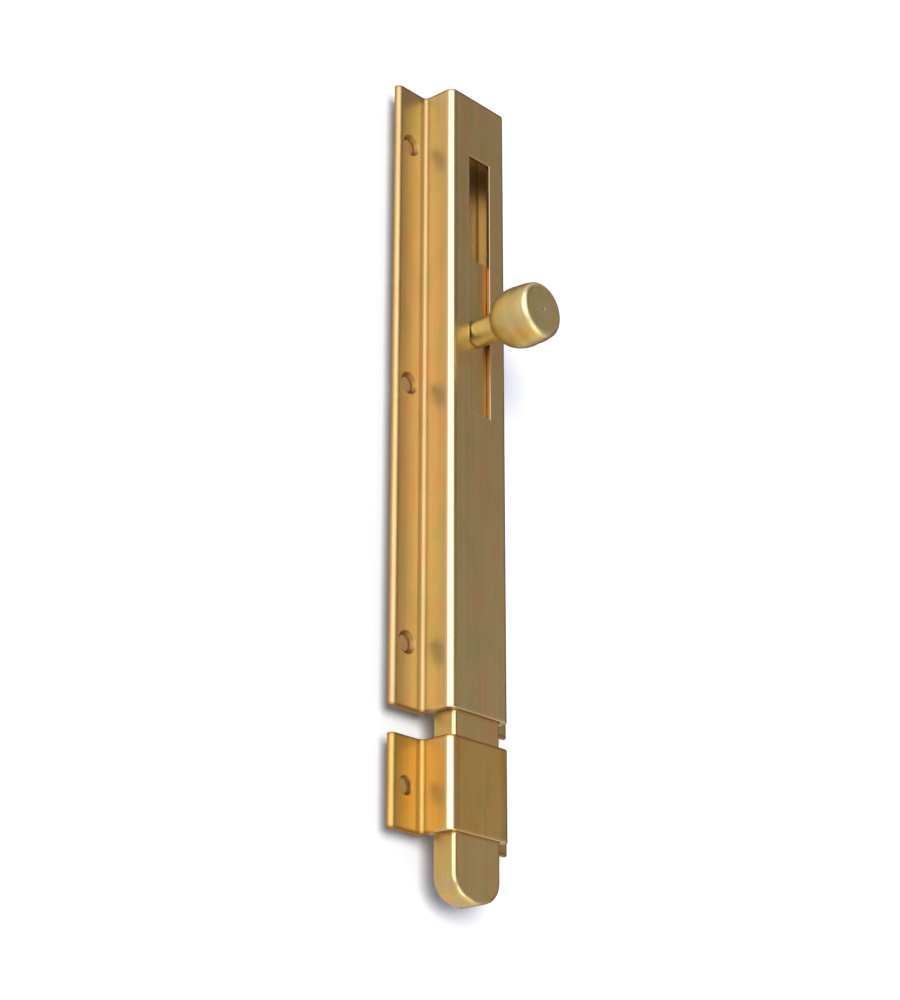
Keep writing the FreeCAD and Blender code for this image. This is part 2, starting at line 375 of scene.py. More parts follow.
def circle(centre: tuple[float, float], radius: float, count: int) -> np.ndarray:
    """Closed loop of count points: the centre plus the radius times cosine and sine of even angles."""
    angle = np.linspace(0, 2 * np.pi, count, endpoint=False)
    return np.array(centre) + radius * np.column_stack([np.cos(angle), np.sin(angle)])


def rectangle(low: tuple[float, float], high: tuple[float, float]) -> np.ndarray:
    """Closed loop of the four corners of a rectangle."""
    return np.array([low, (high[0], low[1]), high, (low[0], high[1])], float)


def dress(piece: bpy.types.Object, material: bpy.types.Material, body: str, node: str) -> None:
    """Gives a piece its finish and its place in the frame.

    Args:
        piece: The finished piece.
        material: Its finish.
        body: Frame body that it rides on.
        node: Frame node that it stands for.
    """
    piece.data.materials.append(material)
    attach(piece, body)
    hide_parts(node)
    log.info("%s: %d faces, rides on %s, stands for %s", piece.name, len(piece.data.polygons), body, node)


def linear(colour: str) -> tuple[float, float, float, float]:
    """Turns an sRGB hex colour into the linear colour that a shader takes.

    Args:
        colour: Six hex digits after a hash sign.

    Returns:
        Linear red, green, blue and an alpha of 1.
    """
    values = (int(colour[i:i + 2], 16) / 255 for i in (1, 3, 5))
    red, green, blue = ((v / 12.92) if v <= 0.04045 else ((v + 0.055) / 1.055) ** 2.4 for v in values)
    return red, green, blue, 1.0


def scaled(colour: str, level: float) -> tuple[float, float, float, float]:
    """Linear colour of an sRGB hex colour, times a level."""
    red, green, blue, _ = linear(colour)
    return red * level, green * level, blue * level, 1.0


def add_node(tree: Tree, kind: str, settings: dict | None = None,
             values: dict | None = None, links: dict | None = None) -> bpy.types.Node:
    """Adds a node, sets it up and links its inputs.

    Args:
        tree: Node tree that takes it.
        kind: Blender's name of the node type.
        settings: Properties of the node.
        values: Values of its input sockets, by name or number.
        links: Output sockets to link to its inputs, by name or number, or nodes for their first output.

    Returns:
        The node.
    """
    node = tree.nodes.new(kind)
    for key, value in (settings or {}).items():
        setattr(node, key, value)
    for key, value in (values or {}).items():
        node.inputs[key].default_value = value
    for key, source in (links or {}).items():
        tree.links.new(source.outputs[0] if isinstance(source, bpy.types.Node) else source, node.inputs[key])
    return node


def per_metre(size: float) -> float:
    """Pattern scale for features of a size in millimetres."""
    return 1 / (size * MM)


@dataclass(frozen=True)
class Brass:
    """Copper and zinc alloy that has been worked, polished and left to tarnish a little.

    The clean metal is a pale yellow. Handling and air lay a thin film on it, which reads as warm pink patches
    and dull olive ones, and the edges are rubbed brighter. Working leaves fine marks along the draw or round
    the lathe. A value at each point mixes in the rubbed colour where it is positive, which in a few places is
    a painted highlight, and a dark colour where it is negative, dirt in some places and painted shade in
    others.
    """

    name: str
    clean: str
    warm: str
    olive: str
    rubbed: str
    roughness: float
    rubbed_roughness: float
    marks: Marks = Marks.DRAWN
    centre: tuple[float, float, float] = (0.0, 0.0, 0.0)
    # Dark colour for dirt, and for painted shade where a piece asks for it.
    grime_and_shade: str = "#80531C"
    grime_and_shade_roughness: float = 0.5
    marks_gloss: tuple[float, float] = (-0.04, 0.05)    # what the marks take off the roughness and add
    marks_shade: tuple[float, float] = (0.93, 1.04)     # colour in the marks and between them
    marks_from: tuple[float, float] = (0.3, 0.7)
    patch: float = 5.0              # width of a tarnish patch
    patch_stretch: float = 0.45     # pattern scale along the draw, as a share of that across it
    warm_from: tuple[float, float] = (0.46, 0.66)       # noise at which a patch starts and is full
    olive_from: tuple[float, float] = (0.48, 0.70)
    stripe: float = 1.5             # width of a stripe left by the draw
    stripe_length: float = 45.0
    stripe_share: float = 0.14      # how strongly the stripes show
    stripe_warm: str = "#D8A070"
    stripe_warm_from: tuple[float, float] = (0.52, 0.72)
    stripe_olive: str = "#B8A468"
    stripe_olive_from: tuple[float, float] = (0.48, 0.28)
    mark_spacing: float = 0.45      # drawn marks are nearer 0.1 mm apart, and 0.45 is the finest that shows
    mark_length: float = 60.0
    mark_depth: float = 0.004
    grain: float = 0.22             # fine pitting, coarser than real grain so that it shows
    grain_depth: float = 0.0012
    layering: float = 0.55          # strength of each finer layer of a noise, as a share of the one before

    def material(self) -> bpy.types.Material:
        """Builds the finish: tarnish in the colour, marks in the bump and the roughness, wear on the edges,
        dirt and painted light and shade.

        Returns:
            The material.
        """
        made = bpy.data.materials.new(self.name)
        made.use_nodes = True
        tree = made.node_tree
        shader = tree.nodes["Principled BSDF"]
        shader.inputs["Metallic"].default_value = 1.0
        place = add_node(tree, "ShaderNodeTexCoord").outputs["Object"]
        wear_and_painted_light = add_node(tree, "ShaderNodeAttribute", {"attribute_name": "wear_and_painted_light"}).outputs["Fac"]
        marks = self.fine_marks(tree, place)
        colour = self.tarnish(tree, place, marks)
        # Positive values mix in the rubbed colour: wear, and in a few places a painted highlight. Negative
        # values mix in the dark colour: dirt in some places, painted shade in others.
        mixed = add_node(tree, "ShaderNodeMix", COLOURS, {SECOND: linear(self.rubbed)},
                         {FACTOR: wear_and_painted_light, FIRST: colour})
        darkening = add_node(tree, "ShaderNodeMath", {"operation": "MULTIPLY", "use_clamp": True}, {1: -1.0},
                        {0: wear_and_painted_light}).outputs[0]
        dirty_and_shaded = add_node(tree, "ShaderNodeMix", COLOURS, {SECOND: linear(self.grime_and_shade)},
                         {FACTOR: darkening, FIRST: mixed.outputs[MIXED]})
        tree.links.new(dirty_and_shaded.outputs[MIXED], shader.inputs["Base Color"])
        least, most = (self.roughness + change for change in self.marks_gloss)
        dull = add_node(tree, "ShaderNodeMapRange", {}, {TO_LOW: least, TO_HIGH: most}, {0: marks})
        rough = add_node(tree, "ShaderNodeMix", {}, {SECOND_VALUE: self.rubbed_roughness},
                         {FACTOR: wear_and_painted_light, FIRST_VALUE: dull})
        rough = add_node(tree, "ShaderNodeMix", {}, {SECOND_VALUE: self.grime_and_shade_roughness},
                         {FACTOR: darkening, FIRST_VALUE: rough})
        tree.links.new(rough.outputs[0], shader.inputs["Roughness"])
        tree.links.new(self.relief(tree, place, marks), shader.inputs["Normal"])
        return made

    def noise(self, tree: Tree, place: Socket, scale: tuple[float, float, float],
              pattern: Pattern, detail: float = 3.0) -> Socket:
        """Noise over object coordinates with its own scale on each axis.

        Args:
            tree: Node tree that takes it.
            place: Object coordinates.
            scale: Pattern scale on each axis, per metre.
            pattern: Which noise it is, so that no two match.
            detail: How many finer layers it has.

        Returns:
            Its value, near 0.5 on average.
        """
        mapped = add_node(tree, "ShaderNodeMapping", {}, {"Scale": scale, "Location": (pattern.value,) * 3},
                          {"Vector": place})
        levels = {"Scale": 1.0, "Detail": detail, "Roughness": self.layering}
        return add_node(tree, "ShaderNodeTexNoise", {}, levels, {"Vector": mapped}).outputs["Fac"]

    def fine_marks(self, tree: Tree, place: Socket) -> Socket:
        """Height of the working marks, from 0 to 1: lines along the draw, or rings round the lathe's axis.

        Args:
            tree: Node tree that takes them.
            place: Object coordinates.

        Returns:
            The height.
        """
        across = per_metre(self.mark_spacing)
        if self.marks is Marks.DRAWN:
            scale = (across, across, per_metre(self.mark_length))
            return self.noise(tree, place, scale, Pattern.DRAWN_MARKS, detail=2.0)
        centred = add_node(tree, "ShaderNodeVectorMath", {"operation": "SUBTRACT"},
                           {1: tuple(value * MM for value in self.centre)}, {0: place})
        flat = add_node(tree, "ShaderNodeVectorMath", {"operation": "MULTIPLY"}, {1: (1, 0, 1)},
                        {0: centred})
        radius = add_node(tree, "ShaderNodeVectorMath", {"operation": "LENGTH"}, {}, {0: flat})
        depth = add_node(tree, "ShaderNodeSeparateXYZ", {}, {}, {0: centred})
        ring = add_node(tree, "ShaderNodeCombineXYZ", {}, {},
                        {0: radius.outputs["Value"], 1: depth.outputs[1]})
        return self.noise(tree, ring.outputs[0], (across, across, 1), Pattern.TURNED_MARKS, detail=2.0)

    def tarnish(self, tree: Tree, place: Socket, marks: Socket) -> Socket:
        """Colour of the film: clean metal, then warm and olive patches, with the marks showing faintly.

        Args:
            tree: Node tree that takes it.
            place: Object coordinates.
            marks: Height of the working marks.

        Returns:
            The colour.
        """
        wide = per_metre(self.patch)
        stretched = (wide, wide, wide * self.patch_stretch)
        limits = (FROM_LOW, FROM_HIGH)
        warm = add_node(tree, "ShaderNodeMapRange", SMOOTH, dict(zip(limits, self.warm_from)),
                        {0: self.noise(tree, place, stretched, Pattern.WARM_PATCHES)})
        olive = add_node(tree, "ShaderNodeMapRange", SMOOTH, dict(zip(limits, self.olive_from)),
                         {0: self.noise(tree, place, stretched, Pattern.OLIVE_PATCHES)})
        first = add_node(tree, "ShaderNodeMix", COLOURS,
                         {FIRST: linear(self.clean), SECOND: linear(self.warm)}, {FACTOR: warm})
        second = add_node(tree, "ShaderNodeMix", COLOURS, {SECOND: linear(self.olive)},
                          {FACTOR: olive, FIRST: first.outputs[MIXED]})
        lightness = dict(zip((*limits, TO_LOW, TO_HIGH), self.marks_from + self.marks_shade))
        shade = add_node(tree, "ShaderNodeMapRange", {}, lightness, {0: marks})
        striped = self.stripes(tree, place, second.outputs[MIXED])
        return add_node(tree, "ShaderNodeVectorMath", {"operation": "SCALE"}, {},
                        {0: striped, "Scale": shade}).outputs[0]

    def stripes(self, tree: Tree, place: Socket, colour: Socket) -> Socket:
        """Adds long narrow stripes along the draw, some copper pink and some olive.

        Args:
            tree: Node tree that takes them.
            place: Object coordinates.
            colour: Colour under the stripes.

        Returns:
            The striped colour.
        """
        across, along = per_metre(self.stripe), per_metre(self.stripe_length)
        scale = (across, across, along) if self.marks is Marks.DRAWN else (along, across, along)
        height = self.noise(tree, place, scale, Pattern.STRIPES, detail=1.5)
        stripes = ((self.stripe_warm_from, self.stripe_warm), (self.stripe_olive_from, self.stripe_olive))
        for (start, full), tint in stripes:
            band = add_node(tree, "ShaderNodeMapRange", SMOOTH,
                            {FROM_LOW: start, FROM_HIGH: full, TO_HIGH: self.stripe_share}, {0: height})
            colour = add_node(tree, "ShaderNodeMix", COLOURS, {SECOND: linear(tint)},
                              {FACTOR: band, FIRST: colour}).outputs[MIXED]
        return colour

    def relief(self, tree: Tree, place: Socket, marks: Socket) -> Socket:
        """Bump of the marks, and of fine pitting over them.

        Args:
            tree: Node tree that takes it.
            place: Object coordinates.
            marks: Height of the working marks.

        Returns:
            The normal.
        """
        fine = per_metre(self.grain)
        pits = self.noise(tree, place, (fine, fine, fine), Pattern.PITS, detail=1.0)
        lines = add_node(tree, "ShaderNodeBump", {}, {"Strength": 1.0, "Distance": self.mark_depth * MM},
                         {"Height": marks})
        both = add_node(tree, "ShaderNodeBump", {}, {"Strength": 1.0, "Distance": self.grain_depth * MM},
                        {"Height": pits, "Normal": lines})
        return both.outputs[0]


@dataclass
class HatSection:
    """The drawn section: two flat flanges with a raised box between them, open at the back.

    A groove in each inside wall holds the cover plate. The body and the keeper are lengths of this section.
    """

    half_span: float
    depth: float
    groove_back: float
    groove_front: float
    groove_root: float
    half_box: float = 9.6
    half_inside: float = 7.7
    flange: float = 1.5
    front_wall: float = 0.9
    corner_round: float = 1.9
    inner_round: float = 0.7
    foot_fillet: float = 1.1
    edge_round: float = 1.3
    hole_x: float = 14.5
    hole_window: float = 2.9    # half width of the flat round a screw hole
    hole_facets: int = 12       # along each side of that window
    groove_play: float = 0.05
    groove_root_play: float = 0.1
    nook_width: float = 0.8     # how far the darker line reaches out of an inner corner; also sets where the inside's painted highlight peaks
    nook_darkening: float = -0.42
    nook_share: tuple[float, float, float] = (0.4, 1.0, 0.0)    # of that darkening, from the fillet outwards
    # painted shade on the foot fillet, which dims its highlight
    foot_painted_shade: float = -0.38
    edge_painted_shade: float = -0.6    # painted shade at the flange's back edge
    edge_rub: float = 0.4       # an even rise towards this runs round the edge
    edge_painted_dimming: float = -0.29    # and painted shade caps the rise here, dimming the edge's highlight
    wall_rub: float = 0.25      # handling keeps the side walls clean above the fillet
    wall_rub_height: float = 0.3
    wall_clear: float = 1.2     # height of the plain wall under the rounded corner
    corner_rub: float = 1.0
    flange_darkening: float = -0.38  # darkening of the flange, the most at its outer edge and none at the box
    corner_band: float = 1.2    # width of the painted dark band, a dark reflection, on the front beside a rubbed corner
    corner_painted_dark: float = -0.27
    middle_line: float = 1.3    # x of the lines beside the middle of the front
    slot_band: float = 1.0      # width of the rubbed band round the slot's mouth
    # painted shade inside the box, and a painted highlight on its inside walls
    inside_painted_shade: float = -0.8
    inside_painted_light: float = 1.0

    @staticmethod
    def from_frame() -> "HatSection":
        """The section, with its outside sizes and its groove taken from the frame."""
        body = Extent.of("body_channel")
        plate = Extent.of("back_plate")
        play = HatSection.groove_play
        return HatSection(
            half_span=body.high[0],
            depth=-body.low[1],
            groove_back=plate.high[1] + play,
            groove_front=plate.low[1] - play,
            groove_root=plate.high[0] + HatSection.groove_root_play,
        )

    def window_steps(self) -> np.ndarray:
        """Offsets of the lines across a screw hole's window, which fan out evenly from its middle."""
        angle = np.radians(np.linspace(-45, 45, self.hole_facets + 1))
        return self.hole_window * np.tan(angle)

    def flange_lines(self, outer: float, inner: float) -> np.ndarray:
        """X of the points along a right flange's flat, from its outer end to its inner one."""
        window = self.hole_x - self.window_steps()
        darkening = inner + self.nook_width * np.array([0.0, 0.5, 1.0])
        return np.unique(np.concatenate([[outer], darkening, window]).round(SAME_DIGITS))[::-1]

    def flange_darkening_at(self, x: np.ndarray) -> np.ndarray:
        """Darkening of a flange at each x: the most at its outer edge and none at the box."""
        foot = self.half_box + self.foot_fillet
        return self.flange_darkening * (np.abs(x) - foot) / (self.half_span - foot)

    def front_lines(self, half: float, slot_lines: list[float]) -> np.ndarray:
        """X of the points across the front, from right to left."""
        wanted = {half, half - self.corner_band, *slot_lines, self.middle_line}
        right = np.array(sorted(wanted, reverse=True))
        return np.concatenate([right, -right[::-1]])

    def right_outside(self) -> list[Run]:
        """Runs of the right half of the outside, from the back of the flange to the front face.

        Returns:
            Runs of (x, y) points with their wear.
        """
        span, box, back = self.half_span, self.half_box, self.flange
        edge, foot, corner = self.edge_round, self.foot_fillet, self.corner_round
        flange_x = self.flange_lines(span - edge, box + foot)
        edge_arc = arc((span - edge, -back + edge), edge, 0, -90, facets=5)
        foot_arc = arc((box + foot, -back - foot), foot, 90, 180, facets=5)
        corner_arc = arc((box - corner, -self.depth + corner), corner, 0, -90, facets=9)
        edge_shade_to_rub = np.linspace(self.edge_painted_shade, self.edge_rub, len(edge_arc))
        darkening = np.interp((flange_x - box - foot) / self.nook_width, (0.0, 0.5, 1.0), self.nook_share)
        # Painted shade darkens the front end of the corner's arc, where the dark band begins.
        painted_dark_end = np.linspace(0, 1, len(corner_arc)) ** 3 * self.corner_painted_dark
        return [
            # Painted shade at the flange's back edge, then a rise of wear round the edge that painted shade
            # caps to dim its highlight.
            (np.array([[span, 0.0]]), self.edge_painted_shade),
            (edge_arc, np.minimum(edge_shade_to_rub, self.edge_painted_dimming)),
            (level_run(flange_x, -back), self.nook_darkening * darkening + self.flange_darkening_at(flange_x)),
            (foot_arc, self.foot_painted_shade),
            (np.array([[box, -back - foot - self.wall_rub_height]]), self.wall_rub),
            (np.array([[box, -self.depth + corner + self.wall_clear]]), 0.0),
            (corner_arc, rubbed(corner_arc, self.corner_rub) + painted_dark_end),
        ]

    def left_inside(self) -> list[Run]:
        """Runs of the left half of the inside, from the back of the flange past the groove to the front wall.

        Returns:
            Runs of (x, y) points with their wear.
        """
        inside, small = self.half_inside, self.inner_round
        middle = (-inside + small, -self.depth + self.front_wall + small)
        inner_arc = arc(middle, small, 180, 270, facets=3)
        groove = np.array([
            [-inside, self.groove_back],
            [-self.groove_root, self.groove_back],
            [-self.groove_root, self.groove_front],
            [-inside, self.groove_front],
        ])
        return [
            (level_run(-self.flange_lines(self.half_span, inside), 0.0)[1:], 0.0),
            # Painted shade in the groove, a painted highlight on the inside wall in front of it, fading to
            # painted shade round the inner corner.
            (groove, self.inside_painted_shade),
            (np.array([[-inside, self.groove_front - self.nook_width]]), self.inside_painted_light),
            (inner_arc, np.linspace(self.inside_painted_light, self.inside_painted_shade, len(inner_arc))),
        ]

    def loop(self, slot_half: float, slot_bevel: float) -> tuple[np.ndarray, np.ndarray]:
        """Closed outline of the section and the wear of each point.

        The right half of the outside runs from the back of the flange to the front face, its mirror image
        follows, and the inside runs back the same way.

        Args:
            slot_half: Half width of the slot, or 0 where there is none.
            slot_bevel: Bevel round its mouth.

        Returns:
            Outline of shape (n, 2) and its wear and painted shade, of shape (n,).
        """
        wide = slot_half + slot_bevel
        outer_lines = [slot_half, wide, wide + self.slot_band] if slot_half else []
        inner_lines = [slot_half] if slot_half else []
        flat = self.half_box - self.corner_round
        front = self.front_lines(flat, outer_lines)
        inner_front = self.front_lines(self.half_inside - self.inner_round, inner_lines)
        # Painted dark band on the front beside each rubbed corner, standing for the dark reflection there.
        dull = self.corner_painted_dark * np.clip(1 - (flat - np.abs(front)) / self.corner_band, 0, 1)
        right, left = self.right_outside(), self.left_inside()
        runs = [*right, (level_run(front, -self.depth), dull)]
        runs += [(mirrored(points), np.flip(value)) for points, value in reversed(right)]
        # The inside of the front wall carries painted shade.
        runs += [*left, (level_run(-inner_front, -self.depth + self.front_wall), self.inside_painted_shade)]
        runs += [(mirrored(points), np.flip(value)) for points, value in reversed(left)]
        points, wear_and_painted_light = joined(runs)
        gap = np.linalg.norm(points - np.roll(points, 1, axis=0), axis=1)
        fresh = gap > SEAM / MM
        return points[fresh], wear_and_painted_light[fresh]


@dataclass
class SectionLength:
    """A sawn length of the hat section with its screw holes, and a slot where it has one."""

    name: str
    section: HatSection
    low: float
    high: float
    hole_rows: tuple[float, ...]
    hole_radius: float = 1.8
    sink_radius: float = 2.6
    end_round: float = 0.25
    line_spacing: float = 6.0
    line_clearance: float = 0.4     # an even line nearer than this to a wanted one is left out
    lip: float = 0.05               # width of the eased lips of a hole
    hole_dirt_and_shade: tuple[float, float, float] = (-0.7, -0.9, -0.85)     # dirt and painted shade on the countersink's lip, its foot, the bore
    slot: tuple[float, float] | None = None
    slot_half: float = 3.5
    slot_bevel: float = 0.07
    slot_rub: float = 0.7
    throat_painted_shade: tuple[float, float] = (-0.45, -0.6)                # painted shade on the slot's wall, outside and inside
    low_rub: float = 0.5
    # The lower sawn end and the flanges' lower ends are darker, and so is the whole top end.
    sawn_darkening: float = -0.8
    top_darkening: float = -0.7
    end_darkening_height: float = 0.6

    def heights(self) -> np.ndarray:
        """Z of the lines across the length: even ones, those of each hole's window and those of the slot."""
        low, high = self.low + self.end_round, self.high - self.end_round
        plain = np.linspace(low, high, max(2, round((high - low) / self.line_spacing)) + 1)
        special = [row + self.section.window_steps() for row in self.hole_rows]
        special.append(np.array([low + self.end_darkening_height, high - self.end_darkening_height]))
        if self.slot:
            bottom, top = self.slot
            bevel, band = self.slot_bevel, self.slot_bevel + self.section.slot_band
            special.append(np.array([bottom - band, bottom - bevel, bottom, top, top + bevel, top + band]))
        wanted = np.concatenate(special)
        clear = np.min(np.abs(plain[:, None] - wanted[None, :]), axis=1) > self.line_clearance
        clear[[0, -1]] = True
        return np.unique(np.concatenate([plain[clear], wanted]).round(SAME_DIGITS))

    def kept(self, loop: np.ndarray, heights: np.ndarray) -> np.ndarray:
        """Which quads of the carried outline are there, leaving the windows of the holes and the slot open.

        Args:
            loop: The outline.
            heights: Z of the lines.

        Returns:
            Array of shape (lines - 1, points) of truth values.
        """
        section = self.section
        flat = np.isclose(loop[:, 1], np.roll(loop[:, 1], -1))
        level = (heights[:-1] + heights[1:]) / 2
        x, y = ((loop + np.roll(loop, -1, axis=0)) / 2).T
        on_flange = flat & (np.isclose(y, -section.flange) | np.isclose(y, 0.0))
        on_flange &= np.abs(np.abs(x) - section.hole_x) < section.hole_window
        at_row = np.zeros(len(level), bool)
        for row in self.hole_rows:
            at_row |= np.abs(level - row) < section.hole_window
        keep = ~(at_row[:, None] & on_flange[None, :])
        if self.slot:
            bottom, top = self.slot
            faces = ((-section.depth, self.slot_bevel), (-section.depth + section.front_wall, 0.0))
            for depth, bevel in faces:
                across = flat & np.isclose(y, depth) & (np.abs(x) < self.slot_half + bevel)
                up = (level > bottom - bevel) & (level < top + bevel)
                keep &= ~(up[:, None] & across[None, :])
        return keep

    def spread_wear_and_shade(self, loop: np.ndarray, wear_and_painted_light: np.ndarray, heights: np.ndarray) -> np.ndarray:
        """Wear and painted shade over the whole length: the section's own, a rubbed band round the slot and
        the ends' own values.

        The band falls evenly from its most at the slot's mouth to 0 at its own width from it.

        Args:
            loop: The outline.
            wear_and_painted_light: Values of the outline's points.
            heights: Z of the lines.

        Returns:
            Array of shape (lines, points).
        """
        spread = np.repeat(wear_and_painted_light[None, :], len(heights), axis=0)
        if self.slot:
            bottom, top = self.slot
            aside = np.abs(loop[None, :, 0]) - self.slot_half
            beyond = np.maximum(bottom - heights, heights - top)[:, None]
            away = np.maximum(aside, beyond) - self.slot_bevel
            band = self.slot_rub * np.clip(1 - away / self.section.slot_band, 0, 1)
            front = np.isclose(loop[:, 1], -self.section.depth)[None, :]
            spread = np.where(front, np.maximum(spread, band), spread)
        spread[0], spread[-1] = self.low_end_tone(loop), self.top_darkening
        return spread

    def low_end_tone(self, loop: np.ndarray) -> np.ndarray:
        """Values of the outline's points at the lower end: rubbed on the box's front, darker on the flanges.
        """
        return np.where(loop[:, 1] < -2 * self.section.flange, self.low_rub, self.sawn_darkening)

    def window_loop(self, across: np.ndarray, up: np.ndarray) -> np.ndarray:
        """Points round a window, from the lines that cross it."""
        bottom, top = level_run(across, up[0]), level_run(across[::-1], up[-1])
        right, left = level_run(up, across[-1])[:, ::-1], level_run(up[::-1], across[0])[:, ::-1]
        return np.concatenate([side[:-1] for side in (bottom, right, top, left)])

    def add_rings(self, skin: Skin, rings: list[tuple[np.ndarray, float, np.ndarray | float]]) -> None:
        """Adds a sheet through rings of (x, z) points, each with its depth and its wear."""
        skin.grid(
            np.stack([placed(ring, Along.Y, depth) for ring, depth, _ in rings]),
            np.stack([np.broadcast_to(value, len(ring)) for ring, _, value in rings]),
        )

    def add_hole(self, skin: Skin, x: float, row: float, heights: np.ndarray) -> None:
        """Adds one countersunk hole: the flats round it, the cone and the bore, as rings of one grid.

        A ring is the centre plus a radius times the cosine and sine of each window point's own angle.

        Args:
            skin: Skin of the piece.
            x: Middle of the hole across the bolt.
            row: Middle of the hole along the bolt.
            heights: Z of the lines.
        """
        section, lip, bore = self.section, self.lip, self.hole_radius
        up = heights[np.abs(heights - row) < section.hole_window + NEAR]
        window = self.window_loop(x + section.window_steps(), up)
        centre = np.array([x, row])
        away = window - centre
        direction = away / np.linalg.norm(away, axis=1, keepdims=True)
        front = -section.flange
        mouth = centre + direction * (self.sink_radius + lip)
        lip_dark, foot_dark, bore_dark = self.hole_dirt_and_shade
        self.add_rings(skin, [
            (window, front, section.flange_darkening_at(window[:, 0])),
            (mouth, front, section.flange_darkening_at(mouth[:, 0])),
            (centre + direction * self.sink_radius, front + lip, lip_dark),
            (centre + direction * bore, front + self.sink_radius - bore, foot_dark),
            (centre + direction * bore, -lip, bore_dark),
            (centre + direction * (bore + lip), 0.0, 0.0),
            (window, 0.0, 0.0),
        ])

    def add_slot(self, skin: Skin, loop: np.ndarray, heights: np.ndarray) -> None:
        """Adds the bevel and the walls of the slot, as rings from the front face to the inside.

        Args:
            skin: Skin of the piece.
            loop: The outline, which gives the lines across the front.
            heights: Z of the lines.
        """
        bottom, top = self.slot
        bevel, front = self.slot_bevel, -self.section.depth
        reach = bevel + NEAR
        on_mouth = np.isclose(loop[:, 1], front) & (np.abs(loop[:, 0]) < self.slot_half + reach)
        up = heights[(heights > bottom - reach) & (heights < top + reach)]
        mouth = self.window_loop(np.unique(loop[on_mouth, 0]), up)
        throat = np.clip(mouth, np.array([-self.slot_half, bottom]), np.array([self.slot_half, top]))
        outside, inside = self.throat_painted_shade
        self.add_rings(skin, [
            (mouth, front, self.slot_rub),
            (throat, front + bevel, outside),
            (throat, front + self.section.front_wall, inside),
        ])

    def build(self) -> bpy.types.Object:
        """Carries the section along the bolt, opens its windows and closes its sawn ends.

        Returns:
            The piece.
        """
        loop, wear_and_painted_light = self.section.loop(self.slot_half if self.slot else 0.0, self.slot_bevel)
        heights = self.heights()
        skin = Skin(self.name)
        straight = np.column_stack([np.zeros(len(heights)), heights])
        skin.grid(carried(loop, straight, Along.Z), self.spread_wear_and_shade(loop, wear_and_painted_light, heights),
                  self.kept(loop, heights))
        rows = rounded_rows(self.low, self.high, self.end_round, self.end_round, facets=3)
        half = len(rows) // 2
        ends = ((rows[:half], 0, self.low_end_tone(loop), self.sawn_darkening),
                (rows[half:], -1, np.full(len(wear_and_painted_light), self.top_darkening), self.top_darkening))
        for end, outermost, round_tone, sawn_tone in ends:
            rings = carried(loop, end, Along.Z)
            skin.grid(rings, round_tone[None, :])
            skin.cap([rings[outermost]], sawn_tone)
        for row in self.hole_rows:
            for side in (-1, 1):
                self.add_hole(skin, side * self.section.hole_x, row, heights)
        if self.slot:
            self.add_slot(skin, loop, heights)
        return skin.piece()


